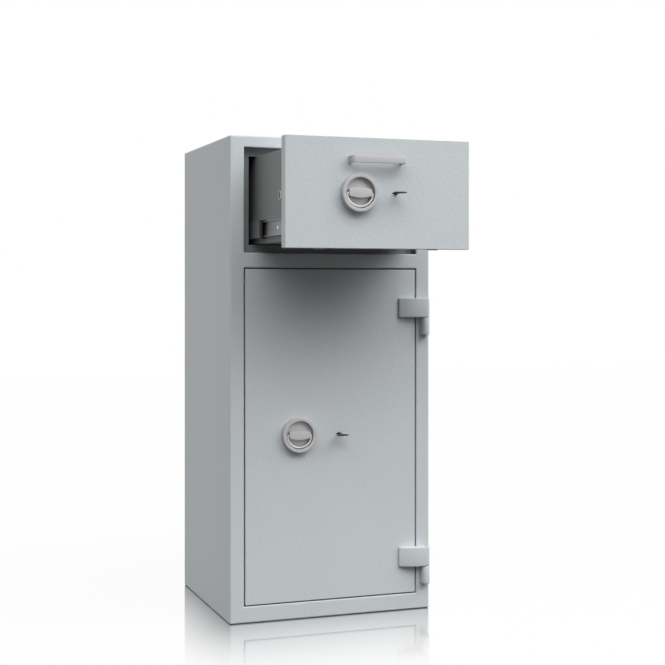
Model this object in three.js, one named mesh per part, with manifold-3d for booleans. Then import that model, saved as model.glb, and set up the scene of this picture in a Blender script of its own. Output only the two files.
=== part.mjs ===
// Drop safe with a deposit drawer: a two-compartment steel cabinet. The drawer runs out on telescopic
// runners, its lidded tray takes the deposit, and pushing it home lines its floor opening up with the
// slot that leads down into the locked lower compartment. Millimetres, +Z up, front towards -Y.
// The origin is the middle of the footprint. The drawer is drawn out, its lid is shut, and every bolt
// is drawn back.
import * as THREE from "three";
import { mergeVertices } from "three/addons/utils/BufferGeometryUtils.js";
import Module from "manifold-3d";

const wasm = await Module();
wasm.setup();

// Values that every piece shares
const clearance = 0.3; // between pieces that touch
const overrun = 6; // how far a cut runs past what it cuts
const roundSegments = 24;
const smallSegments = 12;
const weld = 1e-4; // points nearer than this are one

// Driving dimensions
const cabinet = {
  width: 532,
  depth: 476,
  height: 1200,
  skin: 3,
  cornerRadius: 4,
  edgeBevel: 2.5,
  bayBevel: 1.6, // bent edge of the skin round each bay
  stile: 36.5, // front frame beside the two bays
  bottomRail: 40.5,
  crossRail: 37.2,
  topRail: 28.5,
  drawerBay: 259.6, // height of the upper bay
  rebate: 30, // how deep a panel sits in its bay
  lipWidth: 20,
  lipThickness: 3,
  wall: 38, // outer skin, infill and liner together
  roof: 30,
  floor: 42,
  liner: 2.5,
};
const anchor = { radius: 9, fromSide: 116 };
const divider = {
  thickness: 5,
  topBelowLip: 1.2,
  slotFromSide: 43, // from the side of the drawer's box
  slotFromBack: 22, // from the liner's back
  slotDepth: 80,
};
const dropChute = {
  depth: 62,
  sheet: 2,
  flange: 2,
  flangeWidth: 14,
  combRise: 26,
  combGap: 24,
  toothCount: 12,
  toothLength: 12,
};
const panel = { thickness: 28, gap: 3, edgeRadius: 2 };
const hinge = {
  axisFromCorner: 15.5,
  barrelRadius: 13,
  pinRadius: 5,
  height: 49,
  strapReach: 70,
  strapThickness: 6,
  strapCorner: 6,
  upperFromTop: 124.7, // from the top of the door's bay to the low edge of the upper strap
  lowerFromLow: 71.5, // from the foot of the door's bay to the low edge of the lower strap
  gap: 0.8,
  bevel: 1.2,
  pinSunk: 3,
};
const doorCover = { sideGap: 6.5, depth: 32, lipClearance: 3, sheet: 2 };
const securityBar = { width: 17.7, depth: 12, setBack: 15, endInset: 60 };
const handle = {
  ringRadius: 43.5,
  ringInner: 36,
  ringHeight: 18,
  dishDepth: 12,
  floorThickness: 4,
  barLength: 55,
  barWidth: 24,
  barEndWidth: 15,
  bailRadius: 30.4,
  bailWire: 2.1,
  bailPin: 5,
  spindleRadius: 5,
  spindleTail: 4,
  segments: 32,
  roundShare: 0.45,
  innerBevelShare: 0.2,
  barBevel: 1.5,
  bailBendShare: 1.2,
  bailSteps: 16,
};
const gear = {
  teeth: 16,
  module: 1.75,
  face: 8,
  addendumShare: 0.9,
  dedendumShare: 1.2,
  backlash: 0.3,
  pressureAngle: Math.PI / 9,
  flankPoints: 2,
};
const boltwork = { plane: 16, strip: 6, stripHeight: 14, teethAhead: 6, teethBehind: 3, blankPitches: 1 };
const lock = {
  boltWidth: 12,
  boltLength: 26,
  boltThrow: 9,
  boltTip: 1.6, // from the bolt at rest to the strip
  caseHalfWidth: 30,
  caseNear: 10.5,
  caseFar: 30,
  caseDepth: 22,
  cavityRadius: 9.5,
  cavityDepth: 11.5,
  notchClearance: 0.6,
};
const key = {
  shankRadius: 2.6,
  bowLength: 27,
  bowWidth: 30,
  bowThickness: 2.6,
  bowHoleLength: 7,
  bowHoleWidth: 15,
  bowStart: 17,
  bitHalfWidth: 8,
  bitThickness: 2.2,
  slotHalfWidth: 8.6,
  slotHalfHeight: 1.6,
  collarRadius: 4.6,
  collarLength: 3,
  endFlatShare: 0.1,
  holeShiftShare: 0.2,
  endGap: 1.5,
  shankOverlap: 4,
};
const door = {
  handleFromSide: 113, // from the side of the inner cover
  handleRise: 1.4, // from the middle of the bay
  keyFromHandle: 108.5,
  keyDrop: 1.5,
};
const doorBolt = {
  radius: 10,
  barFromSide: 30, // from the side of the inner cover
  barWidth: 28,
  tipSunk: 0.5, // of a bolt at rest, in its hole in the cover
  endMargin: 60,
  collarRadius: 13,
  collarLength: 4,
  middleShift: 60,
  noseLength: 2,
  holeGap: 0.8,
};
const drawer = {
  lidOut: 3.5, // from the cabinet's front to the lid when the drawer is out
  handleX: -52,
  handleRise: -0.7,
  keyX: 40,
  keyDrop: -1.5,
  pullX: -10,
  pullFromTop: 54.5,
  sideRoom: 35, // between the box and the liner, for a runner and its bracket
  rearRoom: 10,
  boxTopGap: 2, // below the lip over the bay
  boxFloorGap: 2.1, // above the lip under the bay
  sheet: 2,
  boltBehind: 118, // both distances behind the panel's front face
  housingRear: 133,
  lidGap: 2,
  coverStep: 17.5, // from the front of the rear cover to the mouth
  mouthStep: 2, // from the front of the slot to the mouth
};
const chuteFloor = { frontRise: 66, flange: 14, lip: 8, rearGap: 0.4 };
const ledge = { drop: 12.3, sheet: 2, sideReach: 33, hingeReach: 27, endReach: 15 };
const pull = { length: 131, height: 17, reach: 30, grip: 6, bendRadius: 8, innerShare: 0.85, bevel: 1 };
const glide = { length: 20, height: 1.8, fromSide: 86.5, inset: 8 };
const drawerBolt = {
  radius: 9,
  plate: 6,
  plateHeight: 26,
  plateInset: 27, // enough for the plate to clear the bush when the bolt is out
  bush: 10.5,
  bushOut: 10,
  bushFlange: 12.4,
  flange: 2,
  tipSunk: 1,
};
const keeper = { fromLip: 0.5, halfLength: 27, halfHeight: 24, sheet: 5, holeGap: 0.8 };
const runner = {
  height: 45,
  sheet: 1.5,
  nest: 0.5, // running gap between nested members
  depth: 12.9,
  outerFront: 108.3, // these distances lie behind the cabinet's front
  middleFront: 70,
  innerFront: 50,
  rise: 55.1, // of the middle above the foot of the bay
  capLength: 38,
  capWall: 3.5,
  holeRadius: 3.5,
  bracketSheet: 2,
  bracketOverlap: 4,
};
const runnerHoleShares = [0.05, 0.28, 0.72];
const lid = {
  sheet: 1.5,
  rim: 12,
  freeInset: 14.4, // how much nearer to the middle the free edge lies than the hinge axis
  knuckleRadius: 3.5,
  pinRadius: 1.5,
  knuckleCount: 5,
  knuckleGap: 0.6,
  leafDepth: 22,
  wallDrop: 1,
};
const lidLock = {
  fromFree: 31,
  fromRear: 33,
  barrelRadius: 9.4,
  nutRadius: 13,
  nutHeight: 6,
  barrelBelow: 14.3,
  plugRadius: 6,
  camThickness: 3,
  camGap: 0.7,
  camLength: 30,
  camHalfWidth: 7,
  nutSides: 6,
  tipShare: 0.8,
  slotHalfLength: 4,
  slotHalfWidth: 0.9,
  slotDepth: 3,
};

// Places worked out from the sizes above
const front = -cabinet.depth / 2;
const back = cabinet.depth / 2;
const halfWidth = cabinet.width / 2;
const bayHalfWidth = halfWidth - cabinet.stile;
const lipHalfWidth = bayHalfWidth - cabinet.lipWidth;
const doorBayLow = cabinet.bottomRail;
const drawerBayHigh = cabinet.height - cabinet.topRail;
const drawerBayLow = drawerBayHigh - cabinet.drawerBay;
const doorBayHigh = drawerBayLow - cabinet.crossRail;
const linerHalfWidth = halfWidth - cabinet.wall;
const linerLow = cabinet.floor;
const linerHigh = cabinet.height - cabinet.roof;
const linerBack = back - cabinet.wall;
const frameBack = front + cabinet.rebate + cabinet.lipThickness;
const pitchRadius = (gear.module * gear.teeth) / 2;
const throwLength = (pitchRadius * Math.PI) / 2;
const rackGap = gear.module * gear.dedendumShare; // from the pitch line to the strip's edge
const boxHalfWidth = linerHalfWidth - drawer.sideRoom;
const slotHalfWidth = boxHalfWidth - divider.slotFromSide;
const slotRear = linerBack - divider.slotFromBack;
const slot = { x: [-slotHalfWidth, slotHalfWidth], y: [slotRear - divider.slotDepth, slotRear] };
const boxRear = linerBack - drawer.rearRoom - front; // this and the next five lie behind the drawer's face
const mouthRear = slot.y[1] - front;
const mouthFront = slot.y[0] - front + drawer.mouthStep;
const coverFront = mouthFront - drawer.coverStep;
const lidRear = coverFront - drawer.lidGap;
const lidFront = drawer.housingRear + drawer.lidGap;
const travel = lidRear + drawer.lidOut;
const drawerFace = front - travel;
const boxTop = drawerBayHigh - cabinet.lipWidth - drawer.boxTopGap;
const boxLow = drawerBayLow + cabinet.lipWidth + drawer.boxFloorGap;
const behind = (distance) => drawerFace + distance;
const coverHalfWidth = lipHalfWidth - doorCover.sideGap;
const doorHandleX = door.handleFromSide - coverHalfWidth;
const doorFittings = {
  ...door,
  handleX: doorHandleX,
  handleZ: (doorBayLow + doorBayHigh) / 2 + door.handleRise,
  keyX: doorHandleX + door.keyFromHandle,
};
const drawerFittings = { ...drawer, handleZ: (drawerBayLow + drawerBayHigh) / 2 + drawer.handleRise };

// Colours
const paint = new THREE.MeshStandardMaterial({ color: 0xb4b8bb, roughness: 0.55, metalness: 0 });
const innerPaint = new THREE.MeshStandardMaterial({ color: 0xa9adb0, roughness: 0.6, metalness: 0 });
const satin = new THREE.MeshStandardMaterial({ color: 0xb9b8b4, roughness: 0.35, metalness: 0.8 });
const steel = new THREE.MeshStandardMaterial({ color: 0xc4c6c8, roughness: 0.3, metalness: 0.95 });
const zinc = new THREE.MeshStandardMaterial({ color: 0xb9bdbf, roughness: 0.4, metalness: 0.9 });
const black = new THREE.MeshStandardMaterial({ color: 0x17181a, roughness: 0.6, metalness: 0 });
const concrete = new THREE.MeshStandardMaterial({ color: 0x8f8c86, roughness: 0.95, metalness: 0 });

// Helpers
const root = new THREE.Group();

function solid(geometry) {
  const bare = geometry.index ? geometry.toNonIndexed() : geometry.clone();
  bare.deleteAttribute("normal");
  bare.deleteAttribute("uv");
  const merged = mergeVertices(bare, weld);
  const triVerts = merged.index.array;
  if (signedVolume(merged) < 0) triVerts.reverse();
  const mesh = { numProp: 3, vertProperties: merged.attributes.position.array, triVerts };
  return new wasm.Manifold(new wasm.Mesh(mesh));
}

// Negative when the faces point inwards
function signedVolume(geometry) {
  const place = geometry.attributes.position;
  const index = geometry.index.array;
  const [a, b, c] = [new THREE.Vector3(), new THREE.Vector3(), new THREE.Vector3()];
  let volume = 0;
  for (let i = 0; i < index.length; i += 3) {
    a.fromBufferAttribute(place, index[i]);
    b.fromBufferAttribute(place, index[i + 1]);
    c.fromBufferAttribute(place, index[i + 2]);
    volume += a.dot(b.cross(c));
  }
  return volume;
}

function toGeometry(manifold) {
  const { vertProperties, triVerts } = manifold.getMesh();
  const geometry = new THREE.BufferGeometry();
  geometry.setAttribute("position", new THREE.BufferAttribute(new Float32Array(vertProperties), 3));
  geometry.setIndex(new THREE.BufferAttribute(new Uint32Array(triVerts), 1));
  geometry.computeVertexNormals();
  return geometry;
}

function put(name, manifold, material, parent = root) {
  const mesh = new THREE.Mesh(toGeometry(manifold), material);
  mesh.name = name;
  parent.add(mesh);
  return mesh;
}

function inOrder(a, b) {
  return a < b ? [a, b] : [b, a];
}

// A block between two corners
function block([x0, x1], [y0, y1], [z0, z1]) {
  const geometry = new THREE.BoxGeometry(x1 - x0, y1 - y0, z1 - z0);
  geometry.translate((x0 + x1) / 2, (y0 + y1) / 2, (z0 + z1) / 2);
  return solid(geometry);
}

// A shape drawn in X and Y, raised along Z from low to high
function raised(shape, low, high, options = {}) {
  const { bevel = 0, bevelSegments = 2, segments = smallSegments } = options;
  const geometry = new THREE.ExtrudeGeometry(shape, {
    depth: high - low - bevel * 2,
    bevelEnabled: bevel > 0,
    bevelThickness: bevel,
    bevelSize: bevel,
    bevelOffset: -bevel,
    bevelSegments,
    curveSegments: segments,
  });
  geometry.translate(0, 0, low + bevel);
  return geometry;
}

// A shape drawn in X and Z as seen from the front, running back along Y from near to far
function runBack(shape, near, far, options = {}) {
  const geometry = raised(shape, -far, -near, options);
  geometry.rotateX(Math.PI / 2);
  return geometry;
}

// A shape drawn in Y and Z, running along X from left to right
function runAcross(shape, left, right, options = {}) {
  const geometry = raised(shape, left, right, options);
  const turn = new THREE.Matrix4().set(0, 0, 1, 0, 1, 0, 0, 0, 0, 1, 0, 0, 0, 0, 0, 1);
  geometry.applyMatrix4(turn);
  return geometry;
}

function polygon(points) {
  return new THREE.Shape(points.map(([x, y]) => new THREE.Vector2(x, y)));
}

function roundedRectangle(x0, x1, y0, y1, radius) {
  const shape = new THREE.Shape();
  shape.absarc(x1 - radius, y0 + radius, radius, -Math.PI / 2, 0);
  shape.absarc(x1 - radius, y1 - radius, radius, 0, Math.PI / 2);
  shape.absarc(x0 + radius, y1 - radius, radius, Math.PI / 2, Math.PI);
  shape.absarc(x0 + radius, y0 + radius, radius, Math.PI, Math.PI * 1.5);
  shape.closePath();
  return shape;
}

// A rod between two places along one axis, with its middle at the other two coordinates
function rod(axis, radius, [from, to], [u, v], segments = roundSegments) {
  const geometry = new THREE.CylinderGeometry(radius, radius, to - from, segments);
  const middle = (from + to) / 2;
  if (axis === "x") {
    geometry.rotateZ(Math.PI / 2);
    geometry.translate(middle, u, v);
  } else if (axis === "y") {
    geometry.translate(u, middle, v);
  } else {
    geometry.rotateX(Math.PI / 2);
    geometry.translate(u, v, middle);
  }
  return solid(geometry);
}

// The same solid on the other side of the middle plane
function mirrored(manifold) {
  const geometry = toGeometry(manifold);
  geometry.scale(-1, 1, 1);
  return solid(geometry);
}

// Cabinet shell
function outerCasing() {
  const plan = roundedRectangle(-halfWidth, halfWidth, front, back, cabinet.cornerRadius);
  const skin = cabinet.skin;
  const inside = halfWidth - skin;
  let body = solid(raised(plan, 0, cabinet.height, { bevel: cabinet.edgeBevel, segments: 3 }));
  body = body.subtract(block([-inside, inside], [front + skin, back - skin], [skin, cabinet.height - skin]));
  body = body.subtract(bayCut(doorBayLow, doorBayHigh)).subtract(bayCut(drawerBayLow, drawerBayHigh));
  return body.subtract(anchorHoles());
}

// The hole that a bay makes in the front skin, widened at the face where the sheet's edge is broken
function bayCut(low, high) {
  const edge = cabinet.bayBevel;
  const wide = bayHalfWidth + edge;
  const corners = [[-wide, low - edge], [wide, low - edge], [wide, high + edge], [-wide, high + edge]];
  const mouth = runBack(polygon(corners), front - overrun, front + edge, { bevel: edge, bevelSegments: 1 });
  const bay = [front - overrun, front + cabinet.skin + overrun];
  return block([-bayHalfWidth, bayHalfWidth], bay, [low, high]).add(solid(mouth));
}

function anchorHoles() {
  const reach = [-overrun, cabinet.floor + overrun];
  const left = rod("z", anchor.radius, reach, [anchor.fromSide - halfWidth, 0], smallSegments);
  return left.add(mirrored(left));
}

function frontFrame() {
  const outside = halfWidth - cabinet.skin - clearance;
  const low = cabinet.skin + clearance;
  const near = front + cabinet.skin + clearance;
  const lip = cabinet.lipWidth;
  let body = block([-outside, outside], [near, frameBack], [low, cabinet.height - low]);
  for (const [z0, z1] of [[doorBayLow, doorBayHigh], [drawerBayLow, drawerBayHigh]]) {
    body = body.subtract(
      block([-bayHalfWidth, bayHalfWidth], [near - overrun, front + cabinet.rebate], [z0, z1]),
    );
    body = body.subtract(
      block([-lipHalfWidth, lipHalfWidth], [near, frameBack + overrun], [z0 + lip, z1 - lip]),
    );
  }
  return body;
}

function innerLiner() {
  const sheet = cabinet.liner;
  const outside = linerHalfWidth + sheet;
  const near = frameBack + clearance;
  let body = block([-outside, outside], [near, linerBack + sheet], [linerLow - sheet, linerHigh + sheet]);
  body = body.subtract(
    block([-linerHalfWidth, linerHalfWidth], [near - overrun, linerBack], [linerLow, linerHigh]),
  );
  return body.subtract(anchorHoles());
}

function wallInfill() {
  const outside = halfWidth - cabinet.skin - clearance;
  const gap = cabinet.liner + clearance;
  const near = frameBack + clearance;
  const low = cabinet.skin + clearance;
  const inside = linerHalfWidth + gap;
  let body = block([-outside, outside], [near, back - low], [low, cabinet.height - low]);
  body = body.subtract(
    block([-inside, inside], [near - overrun, linerBack + gap], [linerLow - gap, linerHigh + gap]),
  );
  return body.subtract(anchorHoles());
}

put("outer_casing", outerCasing(), paint);
put("front_frame", frontFrame(), paint);
put("inner_liner", innerLiner(), innerPaint);
put("wall_infill", wallInfill(), concrete);

// Floor of the upper bay, with the slot that the deposit drops through
const dividerTop = drawerBayLow + cabinet.lipWidth - divider.topBelowLip;
const dividerLow = dividerTop - divider.thickness;

function compartmentDivider() {
  const side = linerHalfWidth - clearance;
  const depth = [frameBack + clearance, linerBack - clearance];
  const plate = block([-side, side], depth, [dividerLow, dividerTop]);
  return plate.subtract(block(slot.x, slot.y, [dividerLow - overrun, dividerTop + overrun]));
}

// A short chute under the slot. Two combs slope down and inwards from its long sides, so nothing can
// be pulled back up through it.
function dropChuteSolid() {
  const { sheet, depth, flange, flangeWidth } = dropChute;
  const top = dividerLow - clearance;
  const low = top - depth;
  const [x0, x1] = slot.x;
  const [y0, y1] = slot.y;
  const rimX = [x0 - flangeWidth, x1 + flangeWidth];
  const rimY = [y0 - flangeWidth, y1 + flangeWidth];
  const rim = block(rimX, rimY, [top - flange, top]);
  const sleeve = block([x0 - sheet, x1 + sheet], [y0 - sheet, y1 + sheet], [low, top]);
  const body = rim.add(sleeve).subtract(block(slot.x, slot.y, [low - overrun, top + overrun]));
  return body.add(comb(low, (y) => y)).add(comb(low, (y) => y0 + y1 - y));
}

// One comb, drawn at the slot's front side and placed by what it does with each y
function comb(low, place) {
  const { sheet, combRise, toothCount, toothLength, combGap } = dropChute;
  const [x0, x1] = slot.x;
  const start = slot.y[0] - sheet / 2;
  const tip = (slot.y[0] + slot.y[1] - combGap) / 2;
  const corners = [
    [start, low + combRise],
    [start, low + combRise + sheet],
    [tip, low + sheet],
    [tip, low],
  ];
  const section = polygon(corners.map(([y, z]) => [place(y), z]));
  const plate = solid(runAcross(section, x0 - sheet / 2, x1 + sheet / 2));
  const pitch = (x1 - x0) / toothCount;
  const between = tip - toothLength;
  const outline = [[x1 + sheet, between], [x1 + sheet, start], [x0 - sheet, start], [x0 - sheet, between]];
  for (let i = 0; i < toothCount; i += 1) {
    outline.push([x0 + i * pitch, between], [x0 + (i + 1 / 2) * pitch, tip]);
  }
  outline.push([x1, between]);
  const plan = polygon(outline.map(([x, y]) => [x, place(y)]));
  return plate.intersect(solid(raised(plan, low - overrun, low + combRise + overrun)));
}

put("compartment_divider", compartmentDivider(), innerPaint);
put("drop_chute", dropChuteSolid(), zinc);

// Runners of three nested members, each with a bracket to the liner. The outer member is fixed, the
// inner one rides on the drawer and the middle one goes half as far as the drawer.
const runnerX = -(boxHalfWidth + clearance);
const runnerZ = drawerBayLow + runner.rise;
const runnerLow = runnerZ - runner.height / 2;
const runnerHigh = runnerZ + runner.height / 2;
const runnerRear = front + boxRear;
const step = runner.sheet + runner.nest;

// A channel whose web is at x and whose flanges reach to the right as far as end
function channel([x, end], [low, high], sheet, [near, far]) {
  const [x0, x1] = inOrder(x, end);
  const hollow = x < end ? [x + sheet, end + overrun] : [end - overrun, x - sheet];
  const outside = block([x0, x1], [near, far], [low, high]);
  return outside.subtract(block(hollow, [near - overrun, far + overrun], [low + sheet, high - sheet]));
}

function runnerOuter() {
  const x = runnerX - runner.depth;
  const span = [front + runner.outerFront, runnerRear];
  return channel([x, x + runner.depth - step * 2], [runnerLow, runnerHigh], runner.sheet, span);
}

function runnerMiddle(shift) {
  const x = runnerX - runner.depth + step;
  const near = front + runner.middleFront + runner.capLength + clearance - shift;
  const span = [near, runnerRear - shift];
  return channel([x, runnerX - step], [runnerLow + step, runnerHigh - step], runner.sheet, span);
}

function runnerCap(shift) {
  const x = runnerX - runner.depth;
  const near = front + runner.middleFront - shift;
  const span = [near, near + runner.capLength];
  return channel([x, runnerX - step], [runnerLow, runnerHigh], runner.capWall, span);
}

function runnerInner() {
  const end = runnerX - runner.depth + step * 2;
  const span = [front + runner.innerFront - travel, runnerRear - travel];
  const [near, far] = span;
  let body = channel([runnerX, end], [runnerLow + step * 2, runnerHigh - step * 2], runner.sheet, span);
  for (const share of runnerHoleShares) {
    const y = near + (far - near) * share;
    const reach = [runnerX - overrun, runnerX + overrun];
    body = body.subtract(rod("x", runner.holeRadius, reach, [y, runnerZ], smallSegments));
  }
  return body;
}

function runnerBracket() {
  const x = runnerX - runner.depth - clearance;
  const end = -(linerHalfWidth - clearance);
  const sides = [runnerLow - runner.bracketOverlap, runnerHigh + runner.bracketOverlap];
  return channel([x, end], sides, runner.bracketSheet, [front + runner.outerFront, runnerRear]);
}

for (const [side, place] of [["left", (part) => part], ["right", mirrored]]) {
  put(`runner_bracket_${side}`, place(runnerBracket()), innerPaint);
  put(`runner_outer_${side}`, place(runnerOuter()), zinc);
  put(`runner_middle_${side}`, place(runnerMiddle(travel / 2)), zinc);
  put(`runner_cap_${side}`, place(runnerCap(travel / 2)), black);
  put(`runner_inner_${side}`, place(runnerInner()), zinc);
}

// Strikes that the drawer's bolts shoot into once it is home
function drawerKeeper() {
  const y = front + drawer.boltBehind;
  const x = [-(linerHalfWidth - clearance), -(lipHalfWidth + keeper.fromLip)];
  const z = [drawerFittings.handleZ - keeper.halfHeight, drawerFittings.handleZ + keeper.halfHeight];
  const outside = block(x, [y - keeper.halfLength, y + keeper.halfLength], z);
  const inside = block(
    [x[0] - overrun, x[1] - keeper.sheet],
    [y - keeper.halfLength + keeper.sheet, y + keeper.halfLength - keeper.sheet],
    [z[0] - overrun, z[1] + overrun],
  );
  const middle = [y, drawerFittings.handleZ];
  const hole = rod("x", drawerBolt.radius + keeper.holeGap, [x[0], x[1] + overrun], middle);
  return outside.subtract(inside).subtract(hole);
}

put("drawer_keeper_left", drawerKeeper(), steel);
put("drawer_keeper_right", mirrored(drawerKeeper()), steel);

// Hinges: the leaf on the frame carries the pin, and the strap on the door drops over it
const hingeX = halfWidth - hinge.axisFromCorner;
const hingeY = front - clearance - hinge.barrelRadius;

function hingeFrameLeaf(strapLow) {
  const r = hinge.barrelRadius;
  const shape = new THREE.Shape();
  shape.moveTo(hingeX - r, front - clearance);
  shape.lineTo(hingeX - r, hingeY);
  shape.absarc(hingeX, hingeY, r, Math.PI, Math.PI * 2);
  shape.lineTo(hingeX + r, front - clearance);
  const top = strapLow - hinge.gap;
  const leaf = solid(raised(shape, top - hinge.height, top, { bevel: hinge.bevel, segments: 8 }));
  const reach = [top - hinge.pinRadius, strapLow + hinge.height - hinge.pinSunk];
  return leaf.add(rod("z", hinge.pinRadius, reach, [hingeX, hingeY]));
}

function hingeStrap(strapLow) {
  const r = hinge.barrelRadius;
  const top = strapLow + hinge.height;
  const drop = r - hinge.strapThickness;
  const meet = Math.atan2(drop, -Math.sqrt(r * r - drop * drop));
  const left = hingeX - hinge.strapReach;
  const shape = new THREE.Shape();
  shape.moveTo(left, front - clearance);
  shape.lineTo(left, front - clearance - hinge.strapThickness);
  shape.lineTo(hingeX + Math.cos(meet) * r, hingeY + Math.sin(meet) * r);
  shape.absarc(hingeX, hingeY, r, meet, Math.PI * 2.5);
  shape.closePath();
  const strap = solid(raised(shape, strapLow, top));
  const limits = roundedRectangle(left, hingeX + r + overrun, strapLow, top, hinge.strapCorner);
  const right = block([hingeX - r, hingeX + r + overrun], [hingeY - r, front], [strapLow, top]);
  const trimmed = strap.intersect(solid(runBack(limits, hingeY - r - overrun, front + overrun)).add(right));
  const bore = rod("z", hinge.pinRadius + clearance, [strapLow - overrun, top + overrun], [hingeX, hingeY]);
  return trimmed.subtract(bore);
}

const strapLows = { upper: doorBayHigh - hinge.upperFromTop, lower: doorBayLow + hinge.lowerFromLow };
for (const [level, strapLow] of Object.entries(strapLows)) {
  put(`hinge_frame_leaf_${level}`, hingeFrameLeaf(strapLow), paint);
  put(`hinge_door_strap_${level}`, hingeStrap(strapLow), paint);
}

// Front panels of the door and the drawer, flush with the frame when shut
function frontPanel([z0, z1], face, features) {
  const side = bayHalfWidth - panel.gap;
  const outline = roundedRectangle(-side, side, z0 + panel.gap, z1 - panel.gap, panel.edgeRadius);
  const edge = { bevel: panel.edgeRadius / 2, segments: 3 };
  const slab = solid(runBack(outline, face, face + panel.thickness, edge));
  const through = [face - overrun, face + panel.thickness + overrun];
  const spindle = [features.handleX, features.handleZ];
  const bore = rod("y", handle.spindleRadius + clearance, through, spindle, smallSegments);
  const z = features.handleZ - features.keyDrop;
  const { slotHalfWidth, slotHalfHeight } = key;
  const keyhole = roundedRectangle(
    features.keyX - slotHalfWidth, features.keyX + slotHalfWidth, z - slotHalfHeight, z + slotHalfHeight,
    slotHalfHeight * (1 - key.endFlatShare),
  );
  const round = rod("y", key.shankRadius + clearance, through, [features.keyX, z], smallSegments);
  return slab.subtract(bore).subtract(solid(runBack(keyhole, ...through, { segments: 3 }))).subtract(round);
}

// Rotary handle: a fixed ring, and inside it a dish with a grip bar that turns and carries a folding bail.
// It is drawn with its turning axis along Y and the panel's face at zero.
function handleRing() {
  const { ringRadius, ringInner, ringHeight } = handle;
  const edge = ringRadius - ringInner;
  const profile = new THREE.Path();
  profile.moveTo(ringInner, clearance);
  profile.lineTo(ringRadius, clearance);
  profile.lineTo(ringRadius, ringHeight - edge * handle.roundShare);
  profile.quadraticCurveTo(ringRadius, ringHeight, ringRadius - edge * handle.roundShare, ringHeight);
  profile.lineTo(ringInner + edge * handle.innerBevelShare, ringHeight);
  profile.lineTo(ringInner, ringHeight - edge * handle.innerBevelShare);
  profile.closePath();
  return solid(frontLathe(profile.getPoints(4), handle.segments));
}

// A turned piece whose profile gives radius and height above the panel
function frontLathe(points, segments) {
  const closed = points.map((point) => point.clone());
  if (closed[0].distanceTo(closed[closed.length - 1]) > 0) closed.push(closed[0].clone());
  const geometry = new THREE.LatheGeometry(closed, segments);
  geometry.rotateX(Math.PI);
  return geometry;
}

// The part that turns: a dish floor with the grip bar across it, bored at both ends for the bail
function handleKnob() {
  const { ringInner, ringHeight, dishDepth, floorThickness, barLength, barWidth, barEndWidth } = handle;
  const floorTop = ringHeight - dishDepth;
  const radius = ringInner - clearance;
  const dish = rod("y", radius, [-floorTop, -floorTop + floorThickness], [0, 0], handle.segments);
  const half = barLength / 2;
  const shape = new THREE.Shape();
  shape.moveTo(-half, -barEndWidth / 2);
  shape.quadraticCurveTo(0, barEndWidth / 2 - barWidth, half, -barEndWidth / 2);
  shape.lineTo(half, barEndWidth / 2);
  shape.quadraticCurveTo(0, barWidth - barEndWidth / 2, -half, barEndWidth / 2);
  shape.closePath();
  const edge = { bevel: handle.barBevel, segments: 8 };
  const bar = solid(runBack(shape, -ringHeight, -floorTop + floorThickness / 2, edge));
  const socket = [-half - overrun, -half + handle.bailPin];
  const left = rod("x", handle.bailWire + clearance, socket, [bailHeight(), 0], smallSegments);
  return dish.add(bar).subtract(left).subtract(mirrored(left));
}

// How far in front of the panel the bail's pivots lie, as a place on Y
function bailHeight() {
  return -(handle.ringHeight - handle.dishDepth + handle.ringHeight) / 2;
}

// A half ring of wire with both ends turned in towards the bar
function handleBail() {
  const { bailRadius, bailWire, barLength, bailPin } = handle;
  const inner = barLength / 2 - bailPin + clearance;
  const turn = bailRadius - inner;
  const curve = new THREE.CurvePath();
  const bend = bailWire * handle.bailBendShare;
  const bendStart = inner + turn - bend;
  const at = (x, z) => new THREE.Vector3(x, 0, z);
  curve.add(new THREE.LineCurve3(at(-inner, 0), at(-bendStart, 0)));
  curve.add(new THREE.QuadraticBezierCurve3(at(-bendStart, 0), at(-bailRadius, 0), at(-bailRadius, -bend)));
  const arc = new THREE.EllipseCurve(0, 0, bailRadius, bailRadius - bend, Math.PI, Math.PI * 2);
  const points = arc.getPoints(handle.bailSteps).map((p) => at(p.x, p.y - bend));
  curve.add(new THREE.CatmullRomCurve3(points));
  curve.add(new THREE.QuadraticBezierCurve3(at(bailRadius, -bend), at(bailRadius, 0), at(bendStart, 0)));
  curve.add(new THREE.LineCurve3(at(bendStart, 0), at(inner, 0)));
  const section = new THREE.Shape();
  section.absarc(0, 0, bailWire, 0, Math.PI * 2);
  const options = { steps: handle.bailSteps * 2, extrudePath: curve, curveSegments: 5 };
  const wire = new THREE.ExtrudeGeometry(section, options);
  wire.translate(0, bailHeight(), 0);
  return solid(wire);
}

function handleSpindle() {
  const near = -(handle.ringHeight - handle.dishDepth) + handle.floorThickness + clearance;
  const far = panel.thickness + boltwork.plane + gear.face / 2 + handle.spindleTail;
  return rod("y", handle.spindleRadius, [near, far], [0, 0], smallSegments);
}

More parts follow.
